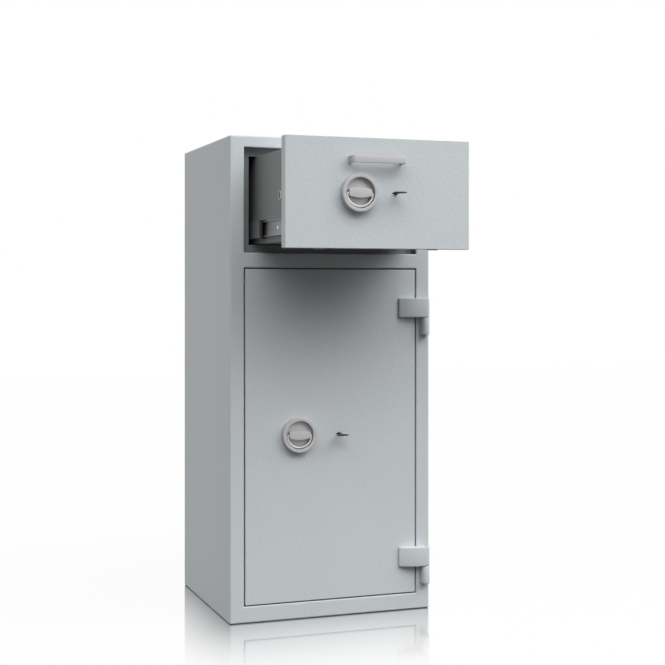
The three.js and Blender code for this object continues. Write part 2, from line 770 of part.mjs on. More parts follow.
// Involute pinion, with a tooth pointing straight up
function pinionSolid() {
  const { teeth, module, addendumShare, dedendumShare, backlash, pressureAngle, flankPoints } = gear;
  const base = pitchRadius * Math.cos(pressureAngle);
  const outer = pitchRadius + module * addendumShare;
  const inner = pitchRadius - module * dedendumShare;
  const involute = (angle) => Math.tan(angle) - angle;
  const halfAtPitch = ((Math.PI * module) / 2 - backlash) / 2 / pitchRadius;
  const half = (radius) => {
    const angle = radius > base ? Math.acos(base / radius) : 0;
    return halfAtPitch + involute(pressureAngle) - involute(angle);
  };
  const radii = [inner];
  for (let i = 0; i <= flankPoints; i += 1) radii.push(base + ((outer - base) * i) / flankPoints);
  const points = [];
  for (let tooth = 0; tooth < teeth; tooth += 1) {
    const middle = (tooth * Math.PI * 2) / teeth + Math.PI / 2;
    for (const radius of radii) points.push([radius, middle - half(radius)]);
    for (const radius of [...radii].reverse()) points.push([radius, middle + half(radius)]);
  }
  const place = ([radius, angle]) => [radius * Math.cos(angle), radius * Math.sin(angle)];
  const outline = polygon(points.map(place));
  const middle = panel.thickness + boltwork.plane;
  const reach = [middle - gear.face / 2, middle + gear.face / 2];
  const through = [reach[0] - overrun, reach[1] + overrun];
  const bore = rod("y", handle.spindleRadius + clearance, through, [0, 0], smallSegments);
  return solid(runBack(outline, ...reach)).subtract(bore);
}

function rotaryHandle(prefix, features, face) {
  const group = new THREE.Group();
  group.position.set(features.handleX, face, features.handleZ);
  root.add(group);
  const ring = handleRing();
  put(`${prefix}_handle_ring`, ring, satin, group);
  put(`${prefix}_handle_knob`, handleKnob(), satin, group);
  put(`${prefix}_handle_bail`, handleBail(), steel, group);
  put(`${prefix}_handle_spindle`, handleSpindle(), steel, group);
  put(`${prefix}_pinion`, pinionSolid(), steel, group);
}

// A toothed strip in the boltwork plane. Its teeth point down for a strip above the pinion (up is 1) and
// up for one below it, from left to right, and it is notched from the toothed side at each notch.
function rackStrip(features, face, up, [left, right], notches) {
  const { module, addendumShare, pressureAngle, backlash } = gear;
  const pitch = Math.PI * module;
  const edge = pitchRadius + rackGap;
  const tip = pitchRadius - module * addendumShare;
  const halfAt = (height) => (pitch / 2 - backlash) / 2 + (height - pitchRadius) * Math.tan(pressureAngle);
  const { teethAhead, teethBehind } = boltwork;
  const [low, high] = up > 0 ? [-teethAhead, teethBehind] : [-teethBehind, teethAhead];
  const points = [[left, edge]];
  for (let tooth = low; tooth < high; tooth += 1) {
    const middle = (tooth + 1 / 2) * pitch;
    points.push([middle - halfAt(edge), edge], [middle - halfAt(tip), tip]);
    points.push([middle + halfAt(tip), tip], [middle + halfAt(edge), edge]);
  }
  points.push([right, edge], [right, edge + boltwork.stripHeight], [left, edge + boltwork.stripHeight]);
  const shape = polygon(points.map(([x, z]) => [features.handleX + x, features.handleZ + up * z]));
  const middle = face + panel.thickness + boltwork.plane;
  const reach = [middle - boltwork.strip / 2, middle + boltwork.strip / 2];
  let strip = solid(runBack(shape, ...reach));
  const half = lock.boltWidth / 2 + lock.notchClearance;
  const depth = lock.boltThrow - lock.boltTip + lock.notchClearance;
  for (const x of notches) {
    const z = inOrder(features.handleZ + up * (edge - overrun), features.handleZ + up * (edge + depth));
    strip = strip.subtract(block([x - half, x + half], [reach[0] - overrun, reach[1] + overrun], z));
  }
  return strip;
}

// Key lock behind a panel: a case with a round cavity for the key's bits and, behind that, a channel in
// which the bolt slides towards the rack strip (up is 1 where the strip lies above the key)
function lockSet(prefix, features, face, up) {
  const x = features.keyX;
  const z = features.handleZ - features.keyDrop;
  const near = face + panel.thickness + clearance;
  const plane = face + panel.thickness + boltwork.plane;
  const stripEdge = features.handleZ + up * (pitchRadius + rackGap);
  const tip = stripEdge - up * lock.boltTip;
  const bolt = inOrder(tip, tip - up * lock.boltLength);
  const half = lock.boltWidth / 2;
  const body = block([x - half, x + half], [plane - boltwork.strip / 2, plane + boltwork.strip / 2], bolt);
  put(`${prefix}_lock_bolt`, body, steel);

  const caseEnd = z + up * lock.caseNear;
  const outside = block(
    [x - lock.caseHalfWidth, x + lock.caseHalfWidth],
    [near, near + lock.caseDepth],
    inOrder(caseEnd, z - up * lock.caseFar),
  );
  const play = clearance;
  const channelEnd = tip - up * (lock.boltLength + play);
  const slide = block(
    [x - half - play, x + half + play],
    [plane - boltwork.strip / 2 - play, plane + boltwork.strip / 2 + play],
    inOrder(caseEnd + up * overrun, channelEnd),
  );
  const cavityReach = [near - overrun, near + lock.cavityDepth];
  const cavity = rod("y", lock.cavityRadius, cavityReach, [x, z], smallSegments);
  put(`${prefix}_lock_case`, outside.subtract(slide).subtract(cavity), zinc);
  put(`${prefix}_key`, keySolid(x, face, z), steel);
}

// A double-bitted key: a flat oval bow with a hole, a round shank with a collar, and the bits
function keySolid(x, face, z) {
  const { bowLength, bowWidth, bowThickness, bowHoleLength, bowHoleWidth, bowStart, shankRadius } = key;
  const middle = face - bowStart - bowLength / 2;
  const bow = new THREE.Shape();
  bow.absellipse(x, middle, bowWidth / 2, bowLength / 2, 0, Math.PI * 2);
  const hole = new THREE.Path();
  const holeMiddle = middle - bowLength * key.holeShiftShare;
  hole.absellipse(x, holeMiddle, bowHoleWidth / 2, bowHoleLength / 2, 0, Math.PI * 2);
  bow.holes.push(hole);
  const half = bowThickness / 2;
  const flat = solid(raised(bow, z - half, z + half, { segments: 10 }));
  const bitFar = face + panel.thickness + lock.cavityDepth - key.endGap;
  const bitNear = face + panel.thickness + key.endGap;
  const shank = rod("y", shankRadius, [face - bowStart - key.shankOverlap, bitFar], [x, z], smallSegments);
  const collarReach = [face - clearance - key.collarLength, face - clearance];
  const collar = rod("y", key.collarRadius, collarReach, [x, z], smallSegments);
  const bits = block([x - key.bitHalfWidth, x + key.bitHalfWidth], [bitNear, bitFar],
    [z - key.bitThickness / 2, z + key.bitThickness / 2]);
  return flat.add(shank).add(collar).add(bits);
}

rotaryHandle("door", doorFittings, front);
rotaryHandle("drawer", drawerFittings, drawerFace);
lockSet("door", doorFittings, front, -1);
lockSet("drawer", drawerFittings, drawerFace, 1);

// Door
const doorPlane = front + panel.thickness + boltwork.plane;
const cover = {
  x: [-coverHalfWidth, coverHalfWidth],
  y: [front + panel.thickness + clearance, front + panel.thickness + doorCover.depth],
  z: [
    doorBayLow + cabinet.lipWidth + doorCover.lipClearance,
    doorBayHigh - cabinet.lipWidth - doorCover.lipClearance,
  ],
};
const doorBoltHeights = [
  cover.z[0] + doorBolt.endMargin,
  (cover.z[0] + cover.z[1]) / 2 + doorBolt.middleShift,
  cover.z[1] - doorBolt.endMargin,
];
const doorBarLeft = cover.x[0] + doorBolt.barFromSide;
const doorBarX = [doorBarLeft, doorBarLeft + doorBolt.barWidth];

function doorInnerCover() {
  const { sheet } = doorCover;
  const inner = (pair) => [pair[0] + sheet, pair[1] - sheet];
  let body = block(cover.x, cover.y, cover.z);
  body = body.subtract(block(inner(cover.x), [cover.y[0] - overrun, cover.y[1] - sheet], inner(cover.z)));
  for (const z of doorBoltHeights) {
    const reach = [cover.x[0] - overrun, cover.x[0] + overrun];
    body = body.subtract(rod("x", doorBolt.radius + doorBolt.holeGap, reach, [doorPlane, z]));
  }
  return body;
}

function doorBoltBar() {
  const { handleX, keyX } = doorFittings;
  const right = keyX - handleX + throwLength + lock.boltWidth;
  const left = doorBarX[1] - handleX - overrun;
  const strip = rackStrip(doorFittings, front, -1, [left, right], [keyX, keyX + throwLength]);
  const half = boltwork.strip / 2;
  const margin = doorBolt.collarRadius;
  const z = [doorBoltHeights[0] - margin, doorBoltHeights[2] + margin];
  return strip.add(block(doorBarX, [doorPlane - half, doorPlane + half], z));
}

function doorBoltSolid(z) {
  const left = cover.x[0] + doorBolt.tipSunk;
  const right = doorBarX[0] - clearance;
  const { radius, noseLength } = doorBolt;
  const shank = rod("x", radius, [left + noseLength, right], [doorPlane, z]);
  const nose = new THREE.CylinderGeometry(radius - noseLength, radius, noseLength, roundSegments);
  nose.rotateZ(Math.PI / 2);
  nose.translate(left + noseLength / 2, doorPlane, z);
  const collar = rod("x", doorBolt.collarRadius, [right - doorBolt.collarLength, right], [doorPlane, z]);
  return shank.add(solid(nose)).add(collar);
}

function doorSecurityBar() {
  const x = [cover.x[1] + clearance, cover.x[1] + clearance + securityBar.width];
  const near = front + panel.thickness + securityBar.setBack;
  const z = [cover.z[0] + securityBar.endInset, cover.z[1] - securityBar.endInset];
  return block(x, [near, near + securityBar.depth], z);
}

put("door_panel", frontPanel([doorBayLow, doorBayHigh], front, doorFittings), paint);
put("door_inner_cover", doorInnerCover(), innerPaint);
put("door_security_bar", doorSecurityBar(), innerPaint);
put("door_bolt_bar", doorBoltBar(), zinc);
for (const [i, level] of ["lower", "middle", "upper"].entries()) {
  put(`door_bolt_${level}`, doorBoltSolid(doorBoltHeights[i]), steel);
}

// Drawer
const drawerBack = drawerFace + panel.thickness;
const box = {
  x: [-boxHalfWidth, boxHalfWidth],
  y: [drawerBack + clearance, behind(boxRear)],
  z: [boxLow, boxTop],
};
const boxInside = [box.x[0] + drawer.sheet + clearance, box.x[1] - drawer.sheet - clearance];
const lidAxisX = box.x[1] - drawer.sheet - clearance - lid.knuckleRadius;
const lidAxisZ = boxTop - lid.knuckleRadius;
const lidSpan = [behind(lidFront), behind(lidRear)];
const lidFreeX = lid.freeInset - lidAxisX;
const ledgeTop = boxTop - ledge.drop;

function drawerFront() {
  let body = frontPanel([drawerBayLow, drawerBayHigh], drawerFace, drawerFittings);
  const top = drawerBayLow + panel.gap + panel.edgeRadius;
  const glideX = bayHalfWidth - panel.gap - glide.fromSide;
  for (const middle of [-glideX, glideX]) {
    body = body.add(block(
      [middle - glide.length / 2, middle + glide.length / 2],
      [drawerFace + glide.inset, drawerBack - glide.inset / 2],
      [drawerBayLow + panel.gap - glide.height, top],
    ));
  }
  return body;
}

function drawerBox() {
  const { sheet } = drawer;
  const insideX = [box.x[0] + sheet, box.x[1] - sheet];
  const insideY = [box.y[0] - overrun, box.y[1] - sheet];
  const mouthY = [behind(mouthFront), behind(mouthRear)];
  let body = block(box.x, box.y, box.z);
  body = body.subtract(block(insideX, insideY, [boxLow + sheet, boxTop + overrun]));
  body = body.subtract(block(slot.x, mouthY, [boxLow - overrun, boxLow + sheet + overrun]));
  const hole = [behind(drawer.boltBehind), drawerFittings.handleZ];
  body = body.subtract(rod("x", drawerBolt.bush + clearance, [box.x[0] - overrun, box.x[0] + overrun], hole));
  body = body.subtract(rod("x", drawerBolt.bush + clearance, [box.x[1] - overrun, box.x[1] + overrun], hole));
  const wallTop = [lidAxisZ - lid.wallDrop, boxTop + overrun];
  return body.subtract(block([box.x[1] - sheet - overrun, box.x[1] + overrun], lidSpan, wallTop));
}

// Cover over the drawer's boltwork: a top plate and the wall that parts it from the tray
function lockCover() {
  const { sheet } = drawer;
  const rear = behind(drawer.housingRear);
  const top = block(boxInside, [box.y[0], rear], [boxTop - sheet, boxTop]);
  const wall = block(boxInside, [rear - sheet, rear], [boxLow + sheet + clearance, boxTop]);
  return top.add(wall);
}

function chuteFloorSolid() {
  const { sheet } = drawer;
  const y0 = behind(drawer.housingRear) + clearance;
  const y1 = behind(mouthFront) - chuteFloor.rearGap;
  const z1 = boxLow + sheet + clearance;
  const z0 = z1 + chuteFloor.frontRise;
  const section = [
    [y0, z0 - chuteFloor.flange],
    [y0, z0 + sheet],
    [y0 + sheet, z0 + sheet],
    [y1, z1 + sheet],
    [y1, z1],
    [y1 - chuteFloor.lip, z1],
    [y0 + sheet, z0 - sheet / 2],
    [y0 + sheet, z0 - chuteFloor.flange],
  ];
  return solid(runAcross(polygon(section), ...boxInside));
}

// Ledge that the lid's rim lands on, in one piece with the plate over the rear of the tray
function boxTopFrame() {
  const { sheet } = drawer;
  const front0 = behind(drawer.housingRear) + clearance;
  const cover0 = behind(coverFront);
  const ledgeX = [boxInside[0], lidAxisX + lid.knuckleRadius - lid.sheet - clearance];
  const ring = block(ledgeX, [front0, cover0 + sheet], [ledgeTop - ledge.sheet, ledgeTop]);
  const hole = block(
    [boxInside[0] + ledge.sideReach, lidAxisX - ledge.hingeReach],
    [front0 + ledge.endReach, cover0 - ledge.endReach],
    [ledgeTop - overrun, ledgeTop + overrun],
  );
  const web = block(boxInside, [cover0, cover0 + sheet], [ledgeTop - ledge.sheet, boxTop]);
  const plate = block(boxInside, [cover0, box.y[1] - sheet - clearance], [boxTop - sheet, boxTop]);
  return ring.subtract(hole).add(web).add(plate);
}

function pullHandle() {
  const { length, height, reach, grip, bendRadius } = pull;
  const x = [drawer.pullX - length / 2, drawer.pullX + length / 2];
  const y = [drawerFace - reach, drawerFace - clearance];
  const outside = new THREE.Shape();
  outside.moveTo(x[0], y[1]);
  outside.lineTo(x[0], y[0] + bendRadius);
  outside.absarc(x[0] + bendRadius, y[0] + bendRadius, bendRadius, Math.PI, Math.PI * 1.5);
  outside.absarc(x[1] - bendRadius, y[0] + bendRadius, bendRadius, Math.PI * 1.5, Math.PI * 2);
  outside.lineTo(x[1], y[1]);
  outside.lineTo(x[1] - grip, y[1]);
  const inner = bendRadius - grip * pull.innerShare;
  outside.absarc(x[1] - grip - inner, y[0] + grip + inner, inner, 0, -Math.PI / 2, true);
  outside.absarc(x[0] + grip + inner, y[0] + grip + inner, inner, -Math.PI / 2, -Math.PI, true);
  outside.lineTo(x[0] + grip, y[1]);
  outside.closePath();
  const middle = drawerBayHigh - drawer.pullFromTop;
  const level = [middle - height / 2, middle + height / 2];
  return solid(raised(outside, ...level, { bevel: pull.bevel, segments: 4 }));
}

// One of the drawer's two bolts. The strip is offset in front of the bolt, and a plate along the box
// wall joins them.
function drawerBoltSolid(side) {
  const plane = drawerBack + boltwork.plane;
  const half = boltwork.strip / 2;
  const wall = side * (boxHalfWidth - drawerBolt.plateInset);
  const inner = wall - side * drawerBolt.plate;
  const far = behind(drawer.boltBehind);
  const end = wall - drawer.handleX;
  const notches = side > 0 ? [drawer.keyX, drawer.keyX - throwLength] : [];
  const otherEnd = -side * (boltwork.teethAhead + boltwork.blankPitches) * gear.module * Math.PI;
  const strip = rackStrip(drawerFittings, drawerFace, side, inOrder(end, otherEnd), notches);
  const stripFar = side * (pitchRadius + rackGap + boltwork.stripHeight);
  const plateEnd = side > 0 ? -drawerBolt.plateHeight / 2 : drawerBolt.plateHeight / 2;
  const plate = block(inOrder(inner, wall), [plane - half, far + drawerBolt.radius],
    inOrder(drawerFittings.handleZ + stripFar, drawerFittings.handleZ + plateEnd));
  const tip = side * (boxHalfWidth + drawerBolt.bushOut - drawerBolt.tipSunk);
  const bolt = rod("x", drawerBolt.radius, inOrder(inner, tip), [far, drawerFittings.handleZ]);
  return strip.add(plate).add(bolt);
}

function boltBush() {
  const { bush, bushOut, bushFlange, flange } = drawerBolt;
  const inside = -(boxHalfWidth - drawer.sheet - clearance);
  const y = behind(drawer.boltBehind);
  const x = -(boxHalfWidth + bushOut);
  const sleeve = rod("x", bush, [x, inside + flange], [y, drawerFittings.handleZ]);
  const rim = rod("x", bushFlange, [inside, inside + flange], [y, drawerFittings.handleZ]);
  const middle = [y, drawerFittings.handleZ];
  const bore = rod("x", drawerBolt.radius + clearance, [x - overrun, inside + overrun], middle);
  return sleeve.add(rim).subtract(bore);
}

put("drawer_front", drawerFront(), paint);
put("drawer_box", drawerBox(), innerPaint);
put("drawer_lock_cover", lockCover(), innerPaint);
put("drawer_chute_floor", chuteFloorSolid(), innerPaint);
put("drawer_top_frame", boxTopFrame(), innerPaint);
put("drawer_pull_handle", pullHandle(), satin);
put("drawer_bolt_left", drawerBoltSolid(-1), steel);
put("drawer_bolt_right", drawerBoltSolid(1), steel);
put("drawer_bolt_bush_left", boltBush(), steel);
put("drawer_bolt_bush_right", mirrored(boltBush()), steel);

// Lid of the tray: a shallow pan that turns on a pin hinge along the box's right wall
const knuckleLength = (lidSpan[1] - lidSpan[0]) / lid.knuckleCount;

function knuckle(i, boreRadius) {
  const y0 = lidSpan[0] + knuckleLength * i + lid.knuckleGap / 2;
  const y1 = y0 + knuckleLength - lid.knuckleGap;
  const outer = rod("y", lid.knuckleRadius, [y0, y1], [lidAxisX, lidAxisZ], smallSegments);
  if (!boreRadius) return { span: [y0, y1], body: outer };
  const bore = rod("y", boreRadius, [y0 - overrun, y1 + overrun], [lidAxisX, lidAxisZ], smallSegments);
  return { span: [y0, y1], body: outer.subtract(bore) };
}

function lidHingeLeaf() {
  const right = lidAxisX + lid.knuckleRadius;
  const x = [right - lid.sheet, right];
  let body = block(x, lidSpan, [lidAxisZ - lid.leafDepth, lidAxisZ - lid.knuckleRadius - lid.knuckleGap]);
  for (let i = 0; i < lid.knuckleCount; i += 2) {
    const { span, body: barrel } = knuckle(i);
    body = body.add(barrel).add(block(x, span, [lidAxisZ - lid.knuckleRadius - lid.sheet, lidAxisZ]));
  }
  return body.add(rod("y", lid.pinRadius, lidSpan, [lidAxisX, lidAxisZ], smallSegments));
}

function drawerLid() {
  const edge = lidAxisX - lid.knuckleRadius - lid.knuckleGap;
  const { sheet, rim } = lid;
  let body = block([lidFreeX, edge], lidSpan, [boxTop - rim, boxTop]);
  body = body.subtract(block(
    [lidFreeX + sheet, edge - sheet],
    [lidSpan[0] + sheet, lidSpan[1] - sheet],
    [boxTop - rim - overrun, boxTop - sheet],
  ));
  for (let i = 1; i < lid.knuckleCount; i += 2) {
    const { span, body: barrel } = knuckle(i, lid.pinRadius + clearance);
    const web = block([edge - sheet, lidAxisX], span, [boxTop - sheet, boxTop]);
    body = body.add(web).add(barrel);
  }
  const hole = rod("z", lidLock.barrelRadius + clearance, [boxTop - rim, boxTop + overrun], lidLockPlace());
  return body.subtract(hole);
}

function lidLockPlace() {
  return [lidFreeX + lidLock.fromFree, lidSpan[1] - lidLock.fromRear];
}

// Cam lock: the barrel and its nut sit in the lid, and the plug turns the cam under the ledge
function lidLockBarrel() {
  const { barrelRadius, nutRadius, nutHeight, barrelBelow, plugRadius } = lidLock;
  const place = lidLockPlace();
  const low = boxTop - barrelBelow;
  const nutTop = boxTop - lid.sheet - clearance;
  const nut = rod("z", nutRadius, [nutTop - nutHeight, nutTop], place, lidLock.nutSides);
  const bore = rod("z", plugRadius + clearance, [low - overrun, boxTop + overrun], place, smallSegments);
  return rod("z", barrelRadius, [low, boxTop], place).add(nut).subtract(bore);
}

function lidLockCam() {
  const { plugRadius, barrelBelow, camThickness, camGap, camLength, camHalfWidth } = lidLock;
  const [x, y] = lidLockPlace();
  const top = boxTop - barrelBelow - camGap;
  const shape = new THREE.Shape();
  shape.absarc(x, y, camHalfWidth, 0, Math.PI);
  const tipRadius = camHalfWidth * lidLock.tipShare;
  shape.absarc(x, y - camLength + tipRadius, tipRadius, Math.PI, Math.PI * 2);
  shape.closePath();
  const plug = rod("z", plugRadius, [top - camThickness, boxTop - clearance], [x, y], smallSegments);
  const { slotHalfLength, slotHalfWidth, slotDepth } = lidLock;
  const slotCut = block([x - slotHalfWidth, x + slotHalfWidth], [y - slotHalfLength, y + slotHalfLength],
    [boxTop - slotDepth, boxTop + overrun]);
  return plug.add(solid(raised(shape, top - camThickness, top, { segments: 8 }))).subtract(slotCut);
}

put("lid_hinge_leaf", lidHingeLeaf(), zinc);
put("drawer_lid", drawerLid(), paint);
put("lid_lock_barrel", lidLockBarrel(), steel);
put("lid_lock_cam", lidLockCam(), steel);

export default root;
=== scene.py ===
# Drop safe with a deposit drawer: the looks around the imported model. Metres, +Z up, front towards -Y.
# The sizes of new pieces are written in millimetres.
import math

import bpy
import numpy as np
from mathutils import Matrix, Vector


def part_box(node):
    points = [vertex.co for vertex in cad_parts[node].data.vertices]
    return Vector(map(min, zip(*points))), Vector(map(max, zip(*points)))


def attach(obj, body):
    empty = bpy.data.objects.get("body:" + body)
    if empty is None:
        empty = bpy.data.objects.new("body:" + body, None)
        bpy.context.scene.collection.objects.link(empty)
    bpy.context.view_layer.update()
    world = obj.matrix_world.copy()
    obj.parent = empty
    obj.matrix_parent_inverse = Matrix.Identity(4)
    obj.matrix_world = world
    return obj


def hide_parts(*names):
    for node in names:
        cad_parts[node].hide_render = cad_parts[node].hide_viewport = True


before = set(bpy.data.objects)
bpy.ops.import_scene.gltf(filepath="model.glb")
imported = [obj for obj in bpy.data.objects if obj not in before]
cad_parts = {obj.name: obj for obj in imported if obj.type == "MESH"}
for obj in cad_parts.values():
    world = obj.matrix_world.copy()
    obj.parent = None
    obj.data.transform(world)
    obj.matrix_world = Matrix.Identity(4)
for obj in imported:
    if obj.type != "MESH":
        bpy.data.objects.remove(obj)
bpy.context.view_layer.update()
mm = 0.001


# Camera. It stands level, left of the middle and 3.2 m in front, at the height where the view neither
# rises nor falls, and its shift frames the safe as the photograph does.
picture_side, focal_length, horizon_above_middle = 665, 1341.9, 44.65  # in pixels
camera_data = bpy.data.cameras.new("view")
camera_data.sensor_width = 36.0
camera_data.lens = 36.0 * focal_length / picture_side
camera_data.shift_y = -horizon_above_middle / picture_side
camera_data.clip_end = 60.0
camera = bpy.data.objects.new("view", camera_data)
camera.location = (-1.1384, -3.4176, 0.8253)
camera.rotation_euler = (math.radians(90), 0.0, math.radians(-19.72))
bpy.context.scene.collection.objects.link(camera)
bpy.context.scene.camera = camera
bpy.context.scene.view_settings.view_transform = "Standard"


# Studio. A white room under a wide bank of soft light in front: none at the horizon, most at 54 degrees up,
# little straight above, more on the right. Behind the safe a low, weak light fills in. One soft lamp stands
# on the right. What the camera and glossy rays see is plain white.
bank_even, bank_slope, back_fill = 8.2, 11.2, 1.4
bank_side = (0.50, -0.85, 0.0)

world = bpy.data.worlds.new("studio")
bpy.context.scene.world = world
world.use_nodes = True
sky = world.node_tree
sky.nodes.clear()


def add_node(tree, kind, inputs=(), operation=None):
    """One shader node. Its inputs, by name or number, are each given a fixed value or another's output."""
    node = tree.nodes.new("ShaderNode" + kind)
    if operation:
        node.operation = operation
    for key, value in dict(inputs).items():
        if isinstance(value, bpy.types.NodeSocket):
            tree.links.new(value, node.inputs[key])
        else:
            node.inputs[key].default_value = value
    return node


def math_node(tree, operation, *values):
    """The result of one Math node on numbers or outputs."""
    return add_node(tree, "Math", enumerate(values), operation).outputs["Value"]


def sky_level():
    """How bright the sky is in a direction (x, y, z). In front it is z^3 (1 - z^4), times a slope that
    rises towards one side. Behind it is (1 - z)^2. It changes over evenly from y = -1/4 to y = 1/4."""
    def level(operation, *values):
        return math_node(sky, operation, *values)

    direction = add_node(sky, "TexCoord").outputs["Generated"]
    facing = add_node(sky, "VectorMath", {0: direction, 1: bank_side}, "DOT_PRODUCT").outputs["Value"]
    along = add_node(sky, "SeparateXYZ", {"Vector": direction}).outputs
    height = level("MAXIMUM", along["Z"], 0.0)
    above_ground = level("GREATER_THAN", along["Z"], 0.0)

    sloped = level("MAXIMUM", level("ADD", level("MULTIPLY", facing, bank_slope), bank_even), 0.0)
    less_overhead = level("SUBTRACT", 1.0, level("POWER", height, 4.0))
    bank = level("MULTIPLY", level("MULTIPLY", level("POWER", height, 3.0), less_overhead), sloped)

    low = level("POWER", level("SUBTRACT", 1.0, height), 2.0)
    fill = level("MULTIPLY", level("MULTIPLY", low, above_ground), back_fill)

    behind = level("ADD", level("MULTIPLY", along["Y"], 2.0), 0.5)
    behind = level("MINIMUM", level("MAXIMUM", behind, 0.0), 1.0)
    in_front = level("SUBTRACT", 1.0, behind)
    return level("ADD", level("MULTIPLY", bank, in_front), level("MULTIPLY", fill, behind))


def seen_directly(tree):
    """1 for the rays that show the room as it is (camera, glossy and transmission), 0 for the rest."""
    ray = add_node(tree, "LightPath").outputs
    either = math_node(tree, "MAXIMUM", ray["Is Camera Ray"], ray["Is Glossy Ray"])
    return math_node(tree, "MAXIMUM", either, ray["Is Transmission Ray"])


def mixed(tree, share, first, second):
    """Two shaders mixed, where second has this share."""
    return add_node(tree, "MixShader", {"Fac": share, 1: first, 2: second}).outputs["Shader"]


light = add_node(sky, "Background", {"Color": (0.985, 0.995, 1.0, 1), "Strength": sky_level()})
plain = add_node(sky, "Background", {"Color": (1, 1, 1, 1)})
room = mixed(sky, seen_directly(sky), light.outputs["Background"], plain.outputs["Background"])
add_node(sky, "OutputWorld", {"Surface": room})

lamp_data = bpy.data.lights.new("softbox", "AREA")
lamp_data.shape = "RECTANGLE"
lamp_data.size, lamp_data.size_y = 1.2, 1.2
lamp_data.energy = 7.0
lamp = bpy.data.objects.new("softbox", lamp_data)
lamp.location = (1.5, -1.9, 1.9)
bpy.context.scene.collection.objects.link(lamp)
lit_spot = (0.0, -0.3, 0.8)
aim = np.array(lit_spot) - np.array(lamp.location)
lamp.rotation_euler = (
    math.atan2(math.hypot(aim[0], aim[1]), -aim[2]),
    0.0,
    math.atan2(-aim[0], aim[1]),
)


# Floor. White, and polished: it mirrors the foot of the safe, and the mirror fades out within 0.6 m. It
# lies a hair below the safe.
floor_half = 9.0
floor_mesh = bpy.data.meshes.new("floor")
floor_mesh.from_pydata(
    [(x * floor_half, y * floor_half, 0) for x, y in ((-1, -1), (1, -1), (1, 1), (-1, 1))], [], [(0, 1, 2, 3)],
)
floor = bpy.data.objects.new("floor", floor_mesh)
floor.location = (0.0, 0.0, -0.0006)
bpy.context.scene.collection.objects.link(floor)


def floor_finish():
    """White for the camera, less what the mirror shows; grey for the light that bounces to the safe. The
    mirror's share is a power of how near the safe's foot is, and falls faster beside it than in front."""
    haste, reach, power, strength = {"X": 2.2, "Y": 1.0}, 0.62, 1.9, 1.08
    mirror_roughness, matt_share, matt_grey, bounce_grey = 0.08, 0.08, 0.80, 0.05

    finish = bpy.data.materials.new("floor")
    finish.use_nodes = True
    tree = finish.node_tree
    tree.nodes.clear()

    def level(operation, *values):
        return math_node(tree, operation, *values)

    place = add_node(tree, "SeparateXYZ", {"Vector": add_node(tree, "TexCoord").outputs["Object"]}).outputs
    squares = []
    for axis, half in zip("XY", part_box("outer_casing")[1]):
        distance = level("MAXIMUM", level("SUBTRACT", level("ABSOLUTE", place[axis]), half), 0.0)
        distance = level("MULTIPLY", distance, haste[axis])
        squares.append(level("MULTIPLY", distance, distance))
    distance = level("SQRT", level("ADD", *squares))
    near = level("MAXIMUM", level("SUBTRACT", 1.0, level("DIVIDE", distance, reach)), 0.0)
    mirror_share = level("MINIMUM", level("MULTIPLY", level("POWER", near, power), strength), 1.0)

    white = add_node(tree, "Emission").outputs["Emission"]
    mirror = add_node(tree, "BsdfAnisotropic", {"Color": (1, 1, 1, 1), "Roughness": mirror_roughness})
    matt = add_node(tree, "BsdfDiffuse", {"Color": (matt_grey, matt_grey, matt_grey, 1)})
    bounce = add_node(tree, "BsdfDiffuse", {"Color": (bounce_grey, bounce_grey, bounce_grey, 1)})
    polished = mixed(tree, mirror_share, white, mirror.outputs["BSDF"])
    shown = mixed(tree, matt_share, polished, matt.outputs["BSDF"])
    both = mixed(tree, seen_directly(tree), bounce.outputs["BSDF"], shown)
    add_node(tree, "OutputMaterial", {"Surface": both})
    return finish


floor_mesh.materials.append(floor_finish())


# Cabinet shell. Bent and welded steel sheet with a light grey powder coat, whose skin is finely pebbled
# like leather. The casing's folds are round. The frame behind its face, seen only in the rebates, is
# coloured dark grey: painted shade that darkens the rebates and the gaps round the door and the drawer.
def empty_group(name, inputs):
    """A node group with these inputs and the outputs Normal and Tone, and its inputs' inner ends."""
    group = bpy.data.node_groups.new(name, "ShaderNodeTree")
    for key, value in inputs.items():
        kind = "NodeSocketVector" if isinstance(value, tuple) else "NodeSocketFloat"
        group.interface.new_socket(key, in_out="INPUT", socket_type=kind).default_value = value
    group.interface.new_socket("Normal", in_out="OUTPUT", socket_type="NodeSocketVector")
    group.interface.new_socket("Tone", in_out="OUTPUT", socket_type="NodeSocketFloat")
    return group, group.nodes.new("NodeGroupInput").outputs


def put_out(group, normal, noises, amount):
    """Sends out a group's normal, and its tone: 1, plus the amount times what the sum of two noises has
    over its middle value of 1."""
    centred = math_node(group, "SUBTRACT", math_node(group, "ADD", *noises), 1.0)
    tone = math_node(group, "ADD", math_node(group, "MULTIPLY", centred, amount), 1.0)
    end = group.nodes.new("NodeGroupOutput")
    group.links.new(normal, end.inputs["Normal"])
    group.links.new(tone, end.inputs["Tone"])


def noise(tree, place, scale, detail):
    """A noise of this many waves to the metre."""
    return add_node(tree, "TexNoise", {"Vector": place, "Scale": scale, "Detail": detail}).outputs["Fac"]


